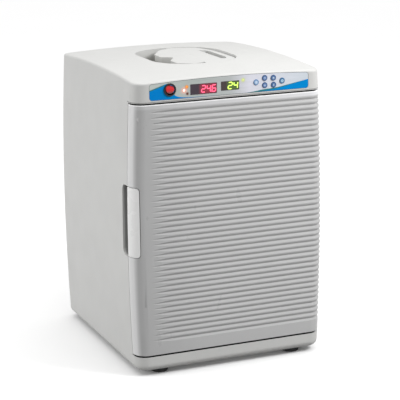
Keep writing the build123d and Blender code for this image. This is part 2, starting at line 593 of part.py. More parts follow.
def fan_rotor(size, depth, y0, hub_r, blades):
    """Hub, pitched blades and the shaft that turns in the housing's hub."""
    reach = size / 2 - 3.5
    y1 = y0 + depth - 4.0
    rotor = rod_y(0, FAN_Z, hub_r, y0 + 1.0, y1)
    rotor = fillet(rotor.edges().sort_by(Axis.Y)[0], 2)
    rotor += rod_y(0, FAN_Z, 1.5, y1, y0 + depth)
    chord = (depth - 6.0) / sin(radians(50))
    middle = (y0 + 1.0 + y1) / 2
    sweep_zone = rod_y(0, FAN_Z, reach, y0 + 1.2, y1 - 0.2)
    vanes = []
    for i in range(blades):
        vane = Rot(40, 0, 0) * Box(reach * 2, chord, 1.6, align=(Align.MIN, Align.CENTER, Align.CENTER))
        turned = Pos(0, middle, FAN_Z) * Rot(0, 360 / blades * i, 0) * vane
        vanes.append(turned & sweep_zone)
    return rotor + vanes


def inner_heatsink():
    half, y0 = 40.0, BLOWER_Y + BLOWER_T + 0.5
    sink = block(-half, half, y0 + 14, y0 + 18, FAN_Z - half, FAN_Z + half)
    fins = [block(x - 0.8, x + 0.8, y0, y0 + 14, FAN_Z - half, FAN_Z + half)
            for x in [-half + 0.8 + i * (2 * half - 1.6) / 14 for i in range(15)]]
    return sink + fins


def heat_pump():
    """Thermoelectric module that warms or cools the air."""
    y0 = BLOWER_Y + BLOWER_T + 18.5
    return [block(-20, 20, y0, y0 + 4, FAN_Z - 20, FAN_Z + 20)]


def outer_heatsink():
    half, y0 = 46.0, BLOWER_Y + BLOWER_T + 22.5
    sink = block(-half, half, y0 + 2, y0 + 7, FAN_Z - half, FAN_Z + half)
    sink += block(-20, 20, y0, y0 + 2, FAN_Z - 20, FAN_Z + 20)
    fins = [block(x - 0.9, x + 0.9, y0 + 7, y0 + 34, FAN_Z - half, FAN_Z + half)
            for x in [-half + 0.9 + i * (2 * half - 1.8) / 16 for i in range(17)]]
    return sink + fins


def temperature_probe():
    stem = rod_y(90, 330, 2.0, ROOM_BACK - 42, ROOM_BACK)
    stem = fillet(stem.edges().sort_by(Axis.Y)[0], 1.8)
    return stem + rod_y(90, 330, 5.0, ROOM_BACK - 4, ROOM_BACK)


# ---- rear of the case ----

def rear_cover():
    """Sheet cover over the rear opening, with a raised box in front of the exhaust fan."""
    centre = (COVER_LOW + COVER_HIGH) / 2
    plate = upright(Pos(0, centre) * RectangleRounded(2 * COVER_X, COVER_HIGH - COVER_LOW, 10),
                    CASE_BACK, CASE_BACK + COVER_T)
    box = upright(Pos(0, FAN_Z) * RectangleRounded(128, 128, 12), CASE_BACK, CASE_BACK + 11)
    box = fillet(box.faces().sort_by(Axis.Y)[-1].edges(), 4)
    inside = upright(Pos(0, FAN_Z) * RectangleRounded(123, 123, 9.5), CASE_BACK - 1, CASE_BACK + 8.5)
    cover = plate + box - inside
    cover -= rod_y(0, FAN_Z, 43, CASE_BACK, CASE_BACK + 20)
    slot = SlotOverall(30, 4, rotation=90)
    for x in range(-84, 85, 12):
        for z in (145.0, 390.0):
            cover -= upright(Pos(x, z) * slot, CASE_BACK - 1, CASE_BACK + 5)
    cover -= block(INLET_X - 14, INLET_X + 14, CASE_BACK - 1, CASE_BACK + 5,
                   INLET_Z - 10.5, INLET_Z + 10.5)
    cover -= rod_y(FUSE_X, INLET_Z, 6.2, CASE_BACK - 1, CASE_BACK + 5)
    cover -= [rod_y(INLET_X + x, INLET_Z, 1.6, CASE_BACK - 1, CASE_BACK + 5) for x in (-20, 20)]
    return cover - [rod_y(x, z, 1.6, CASE_BACK - 1, CASE_BACK + 5) for x, z in cover_screw_places()]


def rear_cover_screws():
    return [screw(x, z, CASE_BACK + COVER_T, 9.0) for x, z in cover_screw_places()]


def exhaust_guard():
    """Wire finger guard: rings welded to two crossed struts, with four fixing eyes."""
    wire_r, reach = 1.0, 58.0
    y = CASE_BACK + 11.0 + wire_r
    guard = upright(Pos(0, FAN_Z) * Rot(0, 0, 45) * Rectangle(2 * reach, 1.6), y - 0.7, y + 0.7)
    guard += upright(Pos(0, FAN_Z) * Rot(0, 0, -45) * Rectangle(2 * reach, 1.6), y - 0.7, y + 0.7)
    for radius in (10.0, 20.0, 30.0, 40.0, 48.0):
        guard += Pos(0, y, FAN_Z) * Rot(90, 0, 0) * Torus(radius, wire_r)
    corner = reach * cos(radians(45))
    corners = [(sx * corner, FAN_Z + sz * corner) for sx in (-1, 1) for sz in (-1, 1)]
    return guard + [rod_y(x, z, 3.6, y - wire_r, y + wire_r) for x, z in corners]


def power_supply():
    box = block(-75, 45, 108, 158, 130, 205)
    box = fillet(box.edges().filter_by(Axis.Z), 2)
    inner = block(-73.8, 43.8, 109.2, 156.8, 131.2, 203.8)
    slots = [block(x, x + 3, 100, 170, 150, 190) for x in range(-66, 36, 8)]
    return box - inner - slots


def power_inlet():
    """Appliance inlet: flange, hollow body and the socket's mouth."""
    y0 = CASE_BACK + COVER_T
    flange = upright(Pos(INLET_X, INLET_Z) * RectangleRounded(50, 24, 4), y0, y0 + 2.5)
    body = block(INLET_X - 13.8, INLET_X + 13.8, y0 - 20, y0, INLET_Z - 10.3, INLET_Z + 10.3)
    mouth = chamfer(Rectangle(24, 16.5).vertices().sort_by(Axis.Y)[:2], 5)
    mouth = upright(Pos(INLET_X, INLET_Z) * mouth, y0 - 17, y0 + 5)
    holes = [rod_y(INLET_X + x, INLET_Z, 1.7, y0 - 1, y0 + 5) for x in (-20, 20)]
    return flange + body - mouth - holes


def inlet_contacts():
    y0 = CASE_BACK + COVER_T
    return [block(INLET_X + x - 1, INLET_X + x + 1, y0 - 28, y0 - 3, INLET_Z + z - 2, INLET_Z + z + 2)
            for x, z in ((-7, -1.5), (0, 2.5), (7, -1.5))]


def inlet_screws():
    y0 = CASE_BACK + COVER_T + 2.5
    return [screw(INLET_X + x, INLET_Z, y0, 6.0, 3.0, 1.6) for x in (-20, 20)]


def fuse_holder():
    y0 = CASE_BACK + COVER_T
    body = rod_y(FUSE_X, INLET_Z, 6.0, y0 - 26, y0)
    cap = rod_y(FUSE_X, INLET_Z, 7.5, y0, y0 + 4)
    cap = fillet(cap.edges().sort_by(Axis.Y)[-1], 1.2)
    return body + cap - block(FUSE_X - 5, FUSE_X + 5, y0 + 2.5, y0 + 5, INLET_Z - 0.6, INLET_Z + 0.6)


# ---- the assembly ----

def with_inlet_slots(body):
    """The inlet's contacts stand in slots through its rear wall."""
    return body - inlet_contacts()


def assembly():
    """Every node of the incubator: its name and its solid or solids."""
    nodes = {
        "outer_case": outer_case(),
        "insulation_foam": insulation_foam(),
        "chamber_liner": chamber_liner(),
        "shelf_rails": shelf_rails(),
        "panel_overlay": panel_overlay(),
        "red_display_window": display_window(RED_WINDOW),
        "green_display_window": display_window(GREEN_WINDOW),
        "red_display_module": display_module(RED_WINDOW),
        "green_display_module": display_module(GREEN_WINDOW),
        "control_board": control_board(),
        "tact_switches": tact_switches(),
        "board_screws": board_screws(),
        "status_leds": status_leds(),
        "power_switch_bezel": power_switch_bezel(),
        "power_switch_rocker": power_switch_rocker(),
        "door_outer_panel": door_outer_panel(),
        "door_inner_panel": door_inner_panel(),
        "door_foam": door_foam(),
        "door_gasket": door_gasket(),
        "gasket_magnet": gasket_magnet(),
        "door_handle_grip": door_handle_grip(),
        "door_screws": door_screws(),
        "door_bush_lower": door_bush(DOOR_LOW),
        "door_bush_upper": door_bush(DOOR_HIGH - BUSH_L),
        "hinge_pin_lower": hinge_pin(True),
        "hinge_pin_upper": hinge_pin(False),
        "hinge_bracket_lower": hinge_bracket(True),
        "hinge_bracket_upper": hinge_bracket(False),
        "carry_handle": carry_handle(),
        "handle_pins": handle_pins(),
        "fan_grille": fan_grille(),
        "blower_frame": fan_frame(BLOWER_SIZE, BLOWER_T, BLOWER_Y, 15),
        "blower_rotor": fan_rotor(BLOWER_SIZE, BLOWER_T, BLOWER_Y, 15, 7),
        "inner_heatsink": inner_heatsink(),
        "heat_pump": heat_pump(),
        "outer_heatsink": outer_heatsink(),
        "exhaust_fan_frame": fan_frame(EXHAUST_SIZE, EXHAUST_T, EXHAUST_Y, 18),
        "exhaust_fan_rotor": fan_rotor(EXHAUST_SIZE, EXHAUST_T, EXHAUST_Y, 18, 7),
        "exhaust_guard": exhaust_guard(),
        "temperature_probe": temperature_probe(),
        "rear_cover": rear_cover(),
        "rear_cover_screws": rear_cover_screws(),
        "power_supply": power_supply(),
        "power_inlet": with_inlet_slots(power_inlet()),
        "inlet_contacts": inlet_contacts(),
        "inlet_screws": inlet_screws(),
        "fuse_holder": fuse_holder(),
        "foot_screws": foot_screws(),
    }
    nodes.update({name: key(x, z) for name, (x, z) in KEYS.items()})
    nodes.update({name: foot(x, y) for name, (x, y) in feet_places().items()})
    nodes.update({name: wire_shelf(z) for name, z in SHELF_Z.items()})
    return nodes


def main():
    os.makedirs("parts", exist_ok=True)
    for name, shape in assembly().items():
        solid = Compound(children=list(shape)) if isinstance(shape, list) else shape
        solid.label = name
        export_step(solid, f"parts/{name}.step")


main()
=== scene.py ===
from math import cos, pi, radians, sin

import bmesh
import bpy
from mathutils import Matrix, Vector


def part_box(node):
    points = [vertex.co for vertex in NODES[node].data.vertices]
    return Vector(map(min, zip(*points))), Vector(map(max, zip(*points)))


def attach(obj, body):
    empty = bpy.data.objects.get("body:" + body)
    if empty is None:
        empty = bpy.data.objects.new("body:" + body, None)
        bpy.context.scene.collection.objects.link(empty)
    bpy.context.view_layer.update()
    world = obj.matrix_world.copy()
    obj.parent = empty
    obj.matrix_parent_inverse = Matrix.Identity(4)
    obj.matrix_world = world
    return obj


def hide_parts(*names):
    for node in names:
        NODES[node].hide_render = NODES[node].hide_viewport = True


# Looks of a bench-top incubator: plastics, printed control panel, lit displays, door gasket, studio.
# Outlines and sizes are in millimetres and become metres when a mesh is made. Axes are the frame's:
# X to the user's right as they face the door, Y to the back, Z up.

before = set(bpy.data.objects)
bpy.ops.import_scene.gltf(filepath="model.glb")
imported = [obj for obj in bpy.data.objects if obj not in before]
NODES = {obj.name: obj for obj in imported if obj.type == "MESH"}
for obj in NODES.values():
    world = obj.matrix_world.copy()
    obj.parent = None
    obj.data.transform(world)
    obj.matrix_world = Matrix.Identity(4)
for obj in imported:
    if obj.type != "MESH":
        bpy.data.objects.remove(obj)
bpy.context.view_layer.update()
MM = 0.001


def box_mm(node):
    """Lowest and highest corner of a CAD node, in millimetres."""
    low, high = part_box(node)
    return low / MM, high / MM


# ---- shader helpers ----

def tone(red, green, blue):
    """Linear colour from the 0 to 255 values that a colour picker shows."""
    def linear(value):
        share = value / 255
        return share / 12.92 if share <= 0.04045 else ((share + 0.055) / 1.055) ** 2.4
    return linear(red), linear(green), linear(blue), 1.0


class Surface:
    """One procedural material. Sizes are in millimetres of the object's own space."""

    def __init__(self, name, color, roughness, metallic=0.0, **fixed):
        self.material = bpy.data.materials.new(name)
        self.material.use_nodes = True
        self.material.diffuse_color = color
        self.tree = self.material.node_tree
        self.shader = self.tree.nodes["Principled BSDF"]
        self.shader.inputs["Base Color"].default_value = color
        self.shader.inputs["Roughness"].default_value = roughness
        self.shader.inputs["Metallic"].default_value = metallic
        for socket, value in fixed.items():
            self.shader.inputs[socket.replace("_", " ")].default_value = value
        self.color, self.rough, self.normal = color, roughness, None
        self.place = self.node("ShaderNodeTexCoord").outputs["Object"]

    def node(self, kind, inputs=(), **properties):
        made = self.tree.nodes.new(kind)
        for key, value in properties.items():
            setattr(made, key, value)
        for key, value in dict(inputs).items():
            if isinstance(value, bpy.types.NodeSocket):
                self.tree.links.new(value, made.inputs[key])
            elif value is not None:
                made.inputs[key].default_value = value
        return made

    def math(self, operation, a, b=0.5, clamp=False):
        return self.node("ShaderNodeMath", {0: a, 1: b}, operation=operation, use_clamp=clamp).outputs[0]

    def axis(self, name):
        """Object coordinate along X, Y or Z, in millimetres."""
        split = self.node("ShaderNodeSeparateXYZ", {0: self.place})
        return self.math("DIVIDE", split.outputs[name], MM)

    def away(self, x, z):
        """Distance across the front from the point (x, z), in millimetres."""
        across = self.math("POWER", self.math("SUBTRACT", self.axis("X"), x), 2)
        up = self.math("POWER", self.math("SUBTRACT", self.axis("Z"), z), 2)
        return self.math("SQRT", self.math("ADD", across, up))

    def both(self, *masks):
        """1 where all the masks are 1."""
        joint = masks[0]
        for mask in masks[1:]:
            joint = self.math("MULTIPLY", joint, mask)
        return joint

    def noise(self, size, detail=2.0, stretch=(1, 1, 1)):
        """Noise from about 0.3 to 0.7 whose features are size millimetres across, times stretch."""
        scale = [1 / (size * MM * share) for share in stretch]
        spot = self.node("ShaderNodeMapping", {"Vector": self.place, "Scale": scale}).outputs[0]
        inputs = {"Vector": spot, "Scale": 1.0, "Detail": detail}
        return self.node("ShaderNodeTexNoise", inputs).outputs["Fac"]

    def cells(self, size, feature="F1", stretch=(1, 1, 1)):
        scale = [1 / (size * MM * share) for share in stretch]
        spot = self.node("ShaderNodeMapping", {"Vector": self.place, "Scale": scale}).outputs[0]
        return self.node("ShaderNodeTexVoronoi", {"Vector": spot, "Scale": 1.0}, feature=feature).outputs[0]

    def span(self, value, low, high, out_low=0.0, out_high=1.0, smooth=False):
        """value carried from low..high to out_low..out_high, and held at the ends."""
        kind = "SMOOTHSTEP" if smooth else "LINEAR"
        inputs = {"Value": value, "From Min": low, "From Max": high, "To Min": out_low, "To Max": out_high}
        return self.node("ShaderNodeMapRange", inputs, interpolation_type=kind).outputs["Result"]

    def ramp(self, value, stops, mode="LINEAR"):
        """Colours picked along value; stops are (place from 0 to 1, colour), the first at 0."""
        made = self.node("ShaderNodeValToRGB", {"Fac": value})
        band = made.color_ramp
        band.interpolation = mode
        band.elements.remove(band.elements[1])
        band.elements[0].color = stops[0][1]
        for place, color in stops[1:]:
            band.elements.new(place).color = color
        return made.outputs["Color"]

    def mix(self, share, first, second, blend="MIX"):
        made = self.node("ShaderNodeMix", data_type="RGBA", blend_type=blend)
        for socket, value in ((made.inputs[0], share), (made.inputs[6], first), (made.inputs[7], second)):
            if isinstance(value, bpy.types.NodeSocket):
                self.tree.links.new(value, socket)
            else:
                socket.default_value = value
        return made.outputs[2]

    def tint(self, mask, color, share=1.0):
        """Blend the base colour towards color where the mask is 1, by share."""
        self.color = self.mix(self.math("MULTIPLY", mask, share), self.color, color)
        return self

    def mottle(self, size, amount, detail=3.0, stretch=(1, 1, 1)):
        """Lighten and darken the base colour by amount, in patches of this size."""
        light = self.span(self.noise(size, detail, stretch), 0.3, 0.7, 1 - amount, 1 + amount)
        grey = self.node("ShaderNodeCombineColor", {0: light, 1: light, 2: light}).outputs[0]
        self.color = self.mix(1.0, self.color, grey, "MULTIPLY")
        return self

    def uneven(self, size, low, high, detail=3.0, stretch=(1, 1, 1)):
        """Roughness that wanders from low to high, in patches of this size."""
        self.rough = self.span(self.noise(size, detail, stretch), 0.35, 0.65, low, high)
        return self

    def worn(self, mask, roughness):
        """Roughness where mask is 1."""
        self.rough = self.node("ShaderNodeMix", {0: mask, 2: self.rough, 3: roughness}).outputs[0]
        return self

    def bump(self, height, depth, strength=1.0):
        """Raise the surface by height, 0 to 1, times depth millimetres."""
        inputs = {"Height": height, "Distance": depth * MM, "Strength": strength, "Normal": self.normal}
        self.normal = self.node("ShaderNodeBump", inputs).outputs["Normal"]
        return self

    def glow(self, color, strength):
        for key, value in (("Emission Color", color), ("Emission Strength", strength)):
            if isinstance(value, bpy.types.NodeSocket):
                self.tree.links.new(value, self.shader.inputs[key])
            else:
                self.shader.inputs[key].default_value = value
        return self

    def done(self):
        for key, value in (("Base Color", self.color), ("Roughness", self.rough), ("Normal", self.normal)):
            if isinstance(value, bpy.types.NodeSocket):
                self.tree.links.new(value, self.shader.inputs[key])
        return self.material


# ---- finishes of the CAD nodes, by the record's slot ----

def moulded(name, color, roughness, grain=0.7, depth=0.012, mottling=0.012, **fixed):
    """Textured injection moulding: fine spark-eroded grain, faint flow marks, handling polish."""
    spread = 0.05
    made = Surface(name, color, roughness, **fixed)
    made.mottle(85.0, mottling).mottle(1.6, mottling * 0.8, 1.0)
    made.uneven(38.0, roughness - spread, roughness + spread, 4.0)
    rub = made.span(made.noise(16.0, 5.0, (1, 1, 2.6)), 0.60, 0.72)
    made.worn(made.math("MULTIPLY", rub, 0.5), roughness - 2 * spread)
    made.bump(made.noise(60.0, 1.0), 0.10)
    made.bump(made.noise(grain, 2.0), depth)
    return made


def case_plastic():
    """Case moulding, with painted shade in its recess, its pocket and over the door."""
    made = moulded("case_moulding", tone(206, 206, 204), 0.42, Specular_IOR_Level=0.32)
    x, y, z = (made.axis(name) for name in "XYZ")
    scuff = made.span(z, 8.0, 26.0, 1.0, 0.0, smooth=True)
    grime = made.both(scuff, made.span(made.noise(7.0, 4.0), 0.45, 0.75))
    made.tint(grime, tone(176, 174, 168), 0.35)
    # painted shade in the recess behind the door's handle
    recess = made.both(
        made.span(x, -157.6, -155.6, smooth=True),
        made.span(x, -145.5, -145.0, 1.0, 0.0),
        made.span(y, -153.9, -152.5),
        made.span(y, -133.2, -132.6, 1.0, 0.0),
        made.span(z, 187.6, 188.6),
        made.span(z, 297.4, 298.4, 1.0, 0.0),
    )
    made.tint(recess, tone(138, 138, 137), 0.9)
    # painted shade on the edge over the door, which widens the dark line of the gap
    edge = made.both(
        made.span(y, -150.0, -149.0, 1.0, 0.0),
        made.span(z, 424.7, 424.9),
        made.span(z, 425.35, 425.65, 1.0, 0.0),
    )
    made.tint(edge, tone(26, 26, 27), 0.9)
    # painted shade in the handle's pocket, deeper towards its bottom
    pocket = made.both(
        made.span(z, 422.0, 422.9),
        made.span(z, 424.0, 460.0, 1.0, 0.0, smooth=True),
        made.span(made.math("ABSOLUTE", x), 74.0, 76.0, 1.0, 0.0),
        made.span(made.math("ABSOLUTE", y), 92.0, 95.0, 1.0, 0.0),
    )
    return made.tint(pocket, tone(140, 140, 130), 0.9).done()


def door_plastic():
    """Door skin. The tints below are painted light and shade on one even plastic, tone(190, 190, 190)."""
    made = moulded("door_moulding", tone(190, 190, 190), 0.33)
    x, y, z = (made.axis(name) for name in "XYZ")
    made.tint(made.span(y, -177.6, -176.2, smooth=True), tone(176, 176, 175), 0.45)
    left = made.span(x, -160.0, -40.0, 1.0, 0.0, smooth=True)
    made.tint(left, tone(172, 172, 172), 0.6)
    made.tint(made.both(left, made.span(y, -174.0, -168.5)), tone(226, 226, 226), 0.9)
    band = made.both(made.span(z, 413.5, 416.5, smooth=True), made.span(x, -150.0, 130.0, 0.25, 1.0))
    made.tint(band, tone(232, 232, 234), 0.9)
    rim = made.span(z, 419.8, 420.6, smooth=True)
    return made.tint(rim, tone(252, 252, 252), 0.9).done()


def liner_plastic():
    made = moulded("chamber_sheet", tone(232, 232, 228), 0.28, grain=1.8, depth=0.02, mottling=0.016)
    made.mottle(260.0, 0.02, 1.0)
    return made.done()


def insert_plastic():
    made = moulded("handle_insert", tone(242, 242, 241), 0.30, grain=0.5, depth=0.005)
    return made.done()


def cover_plastic():
    made = moulded("rear_cover_moulding", tone(212, 212, 209), 0.52, grain=0.9, depth=0.02)
    return made.done()


# painted glow round each lamp: x, z, reach, colour and strength
LAMP_HALOS = (
    (-74.8, 439.3, 7.5, tone(255, 196, 176), 0.95),
    (-70.5, 444.3, 4.2, tone(240, 150, 60), 0.95),
    (-69.6, 434.1, 3.6, tone(150, 84, 60), 0.8),
    (20.8, 447.7, 5.0, tone(216, 226, 150), 0.9),
)


def panel_film():
    """Silver membrane, brushed along its length and bluish, with painted light: darkest left of the middle,
    brightest just right of it and bright at its right.
    """
    made = Surface("brushed_film", tone(186, 190, 190), 0.34, Coat_Weight=0.25, Coat_Roughness=0.18)
    # painted light and shade across the film, in the ramp below
    across = made.span(made.axis("X"), -130.0, 130.0)
    made.color = made.ramp(across, [
        (0.0, tone(196, 203, 198)),
        (0.30, tone(178, 186, 182)),
        (0.50, tone(188, 192, 192)),
        (0.62, tone(226, 226, 236)),
        (1.0, tone(206, 214, 222)),
    ])
    made.mottle(0.5, 0.05, 2.0, (60, 1, 1)).mottle(3.0, 0.02, 2.0, (40, 1, 1))
    # the film's own colour stands in for the light that the lamps throw on it
    for x, z, reach, color, share in LAMP_HALOS:
        made.tint(made.span(made.away(x, z), 1.2, reach, 1.0, 0.0, smooth=True), color, share)
    made.uneven(0.6, 0.26, 0.42, 2.0, (50, 1, 1))
    made.bump(made.noise(0.35, 2.0, (80, 1, 1)), 0.006)
    return made.done()


def tinted_window(name, dark, lit, centre, reach, strength):
    """Tinted lens with a painted glow round the lit digits behind it; centre and reach are (x, z)."""
    made = Surface(name, dark, 0.16, Coat_Weight=0.3, Coat_Roughness=0.08)
    sideways = made.math("ABSOLUTE", made.math("SUBTRACT", made.axis("X"), centre[0]))
    upward = made.math("ABSOLUTE", made.math("SUBTRACT", made.axis("Z"), centre[1]))
    # painted light of the digits: the lens is paler round them and glows there
    halo = made.both(
        made.span(sideways, reach[0] - 3.0, reach[0] + 3.5, 1.0, 0.0, smooth=True),
        made.span(upward, reach[1] - 2.0, reach[1] + 3.0, 1.0, 0.0, smooth=True),
    )
    made.tint(halo, lit, 0.6).mottle(0.9, 0.06)
    made.uneven(5.0, 0.12, 0.22)
    made.bump(made.noise(0.4, 1.0), 0.002)
    return made.glow(lit, made.math("MULTIPLY", halo, strength)).done()


def segment_block(name, color):
    made = Surface(name, color, 0.5)
    made.mottle(2.0, 0.05)
    made.bump(made.noise(0.6), 0.01)
    return made.done()


def key_cap():
    """Domed printed cap: dark blue rim and a paler middle; each cap is found by its own centre."""
    made = Surface("key_cap_film", tone(52, 92, 140), 0.22, Coat_Weight=0.4, Coat_Roughness=0.1)
    for x, z, rim, middle in KEY_COLOURS:
        away = made.away(x, z)
        here = made.span(away, 5.8, 6.0, 1.0, 0.0)
        disc = made.ramp(made.span(away, 0.0, 5.0), [
            (0.0, middle),
            (0.42, middle),
            (0.64, rim),
        ])
        made.tint(here, disc)
    made.mottle(0.8, 0.04)
    made.uneven(4.0, 0.18, 0.3)
    made.bump(made.noise(0.3, 1.0), 0.002)
    return made.done()


def lamp_lens():
    """Four moulded lenses, told apart by where they stand along the panel."""
    made = Surface("lamp_lens", tone(230, 140, 50), 0.18, Coat_Weight=0.5, Coat_Roughness=0.05)
    near = made.span(made.axis("X"), -80.0, 30.0)
    high = made.span(made.axis("Z"), 436.0, 437.0)
    colors = made.ramp(near, [
        (0.0, tone(255, 190, 190)),
        (0.067, tone(245, 150, 40)),
        (0.5, tone(214, 226, 130)),
    ], "CONSTANT")
    made.color = made.mix(high, tone(96, 52, 40), colors)
    made.mottle(0.7, 0.05)
    made.bump(made.cells(0.6), 0.02)
    power = made.ramp(near, [
        (0.0, (1.0, 1.0, 1.0, 1.0)),
        (0.067, (0.18, 0.18, 0.18, 1.0)),
        (0.5, (0.12, 0.12, 0.12, 1.0)),
    ], "CONSTANT")
    strength = made.both(power, high, 3.0)
    return made.glow(made.color, strength).done()


def switch_black():
    made = Surface("black_nylon_gloss", tone(22, 22, 26), 0.26)
    made.mottle(1.2, 0.15)
    made.uneven(6.0, 0.2, 0.36)
    made.bump(made.noise(0.5), 0.006)
    return made.done()


def switch_red():
    """Red rocker with painted light and shade: bright where it leans out, dark where it leans in."""
    made = Surface("red_rocker", tone(205, 22, 30), 0.2, Coat_Weight=0.5, Coat_Roughness=0.06)
    # painted shade on the half that leans in
    low = made.span(made.axis("Z"), 436.5, 441.0, 1.0, 0.0, smooth=True)
    made.tint(low, tone(34, 8, 22), 0.92).mottle(0.8, 0.05)
    made.uneven(3.0, 0.14, 0.26)
    made.bump(made.noise(0.5), 0.004)
    # painted light: a faint glow on the half that leans out
    lit = made.math("MULTIPLY", made.span(made.axis("Z"), 440.0, 444.0, smooth=True), 0.12)
    return made.glow(tone(230, 30, 40), lit).done()


def circuit_board():
    made = Surface("solder_mask", tone(34, 92, 58), 0.34, Coat_Weight=0.3, Coat_Roughness=0.2)
    tracks = made.cells(4.0, "DISTANCE_TO_EDGE", (1, 40, 1))
    line = made.span(tracks, 0.03, 0.07, 1.0, 0.0)
    made.tint(line, tone(70, 132, 84), 0.8).mottle(6.0, 0.05)
    made.bump(line, 0.03).bump(made.noise(0.5), 0.004)
    return made.done()


def black_plastic():
    made = moulded("glass_filled_nylon", tone(34, 34, 36), 0.46, grain=0.5, depth=0.015, mottling=0.08)
    return made.done()


def rubber():
    made = Surface("foot_rubber", tone(30, 30, 31), 0.72)
    made.mottle(9.0, 0.12).mottle(1.0, 0.1)
    made.uneven(5.0, 0.6, 0.82)
    dust = made.math("MULTIPLY", made.span(made.axis("Z"), 0.0, 3.5, 1.0, 0.0), made.noise(3.0, 4.0))
    made.tint(dust, tone(96, 94, 90), 0.5)
    made.bump(made.noise(0.8, 3.0), 0.05)
    return made.done()


def gasket_vinyl():
    made = Surface("gasket_vinyl", tone(206, 206, 203), 0.5, Subsurface_Weight=0.08)
    made.shader.inputs["Subsurface Radius"].default_value = (0.003, 0.003, 0.003)
    made.mottle(30.0, 0.03).mottle(2.0, 0.02)
    made.uneven(12.0, 0.42, 0.6)
    made.bump(made.noise(22.0, 1.0), 0.15).bump(made.noise(0.6), 0.01)
    return made.done()


def foam():
    made = Surface("closed_cell_foam", tone(240, 228, 190), 0.88)
    made.mottle(14.0, 0.05).mottle(1.6, 0.06)
    made.bump(made.cells(1.4), 0.5).bump(made.cells(4.0), 0.4)
    return made.done()


def zinc_steel():
    made = Surface("zinc_plated_steel", tone(176, 178, 182), 0.32, 1.0)
    made.mottle(3.5, 0.07, 4.0).mottle(0.6, 0.04, 2.0, (1, 1, 30))
    made.uneven(4.0, 0.24, 0.44)
    made.bump(made.noise(0.4, 2.0, (1, 1, 30)), 0.006)
    return made.done()


def bright_wire():
    made = Surface("plated_wire", tone(214, 215, 217), 0.14, 1.0)
    made.mottle(5.0, 0.05)
    made.uneven(6.0, 0.09, 0.24, 4.0)
    made.bump(made.noise(0.9, 2.0), 0.01)
    return made.done()


def plain_aluminium():
    made = Surface("extruded_aluminium", tone(200, 202, 206), 0.36, 1.0)
    made.mottle(0.5, 0.06, 2.0, (1, 60, 1)).mottle(20.0, 0.03)
    made.uneven(0.6, 0.28, 0.46, 2.0, (1, 50, 1))
    made.bump(made.noise(0.4, 2.0, (1, 80, 1)), 0.01)
    return made.done()


def contact_brass():
    made = Surface("plated_brass", tone(212, 180, 112), 0.26, 1.0)
    made.mottle(2.0, 0.08).tint(made.span(made.noise(4.0, 4.0), 0.55, 0.7), tone(160, 128, 76), 0.4)
    made.uneven(3.0, 0.2, 0.36)
    made.bump(made.noise(0.4), 0.006)
    return made.done()


def alumina():
    made = Surface("alumina_plate", tone(236, 236, 230), 0.6)
    made.mottle(1.2, 0.03).mottle(10.0, 0.02)
    made.bump(made.noise(0.7, 3.0), 0.02)
    return made.done()


# ---- printed colours and lights of the panel ----

def wave_ink():
    """Blue print: teal along its upper edges, cyan at the far right, and a paler ring of painted light
    round the switch.
    """
    made = Surface("wave_ink", tone(0, 134, 214), 0.5, Specular_IOR_Level=0.08)
    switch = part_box("power_switch_bezel")
    centre = (switch[0] + switch[1]) / 2 / MM
    # painted light: a paler ring in the blue round the switch
    near = made.span(made.away(centre.x, centre.z), 11.0, 15.5, 1.0, 0.0, smooth=True)
    made.tint(near, tone(0, 146, 208), 0.6)
    right = made.span(made.axis("X"), 48.0, 96.0, smooth=True)
    made.tint(right, tone(0, 140, 214), 0.9)
    tip = made.both(made.span(made.axis("X"), 0.0, 20.0, smooth=True),
                    made.span(made.axis("X"), 30.0, 92.0, 1.0, 0.0, smooth=True))
    made.tint(tip, tone(16, 122, 134), 0.9)
    made.mottle(0.5, 0.04, 2.0, (50, 1, 1)).mottle(20.0, 0.05)
    made.uneven(8.0, 0.24, 0.36)
    made.bump(made.noise(0.35, 1.0), 0.003)
    return made.done()


def flat_ink(name, color, roughness=0.34):
    made = Surface(name, color, roughness, Coat_Weight=0.2, Coat_Roughness=0.2)
    made.mottle(0.8, 0.06).mottle(12.0, 0.04)
    made.uneven(5.0, roughness - 0.06, roughness + 0.08)
    made.bump(made.noise(0.4, 1.0), 0.003)
    return made.done()


def lit_segment(name, color, strength):
    """Light of a display segment, a little uneven along it."""
    made = Surface(name, color, 0.3)
    patch = made.span(made.noise(1.6, 2.0), 0.3, 0.7, 0.85, 1.1)
    made.mottle(1.0, 0.05)
    made.bump(made.noise(0.5, 1.0), 0.002)
    return made.glow(color, made.math("MULTIPLY", patch, strength)).done()


# ---- mesh helpers ----

def piece(name, mesh, body, material, smooth=False):
    """A new object from a mesh in millimetres, which rides on a CAD body."""
    mesh.transform(Matrix.Scale(MM, 4))
    mesh.materials.append(material)
    made = bpy.data.objects.new(name, mesh)
    bpy.context.scene.collection.objects.link(made)
    for face in mesh.polygons:
        face.use_smooth = smooth
    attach(made, body)
    return made


def mesh_of(shape, name):
    bmesh.ops.recalc_face_normals(shape, faces=shape.faces)
    mesh = bpy.data.meshes.new(name)
    shape.to_mesh(mesh)
    shape.free()
    return mesh


def add_print(shape, outline, y_front, y_back, holes=()):
    """Thin closed sheet with an outline of (x, z) points, from y_front to y_back."""
    rings = [outline, *holes]
    loops = []
    for y in (y_front, y_back):
        loops.append([[shape.verts.new((x, y, z)) for x, z in ring] for ring in rings])
    for level in loops:
        edges = [shape.edges.new((ring[i - 1], ring[i])) for ring in level for i in range(len(ring))]
        bmesh.ops.triangle_fill(shape, edges=edges, use_beauty=True)
    for front, back in zip(*loops):
        for i in range(len(front)):
            shape.faces.new((front[i - 1], front[i], back[i], back[i - 1]))


def printed(name, outlines, y_front, thickness, body, material):
    """Flat print of closed outlines; one with holes is given as (outline, [hole, ...])."""
    shape = bmesh.new()
    for outline in outlines:
        holes = []
        if isinstance(outline, tuple):
            outline, holes = outline
        add_print(shape, outline, y_front, y_front + thickness, holes)
    return piece(name, mesh_of(shape, name), body, material)


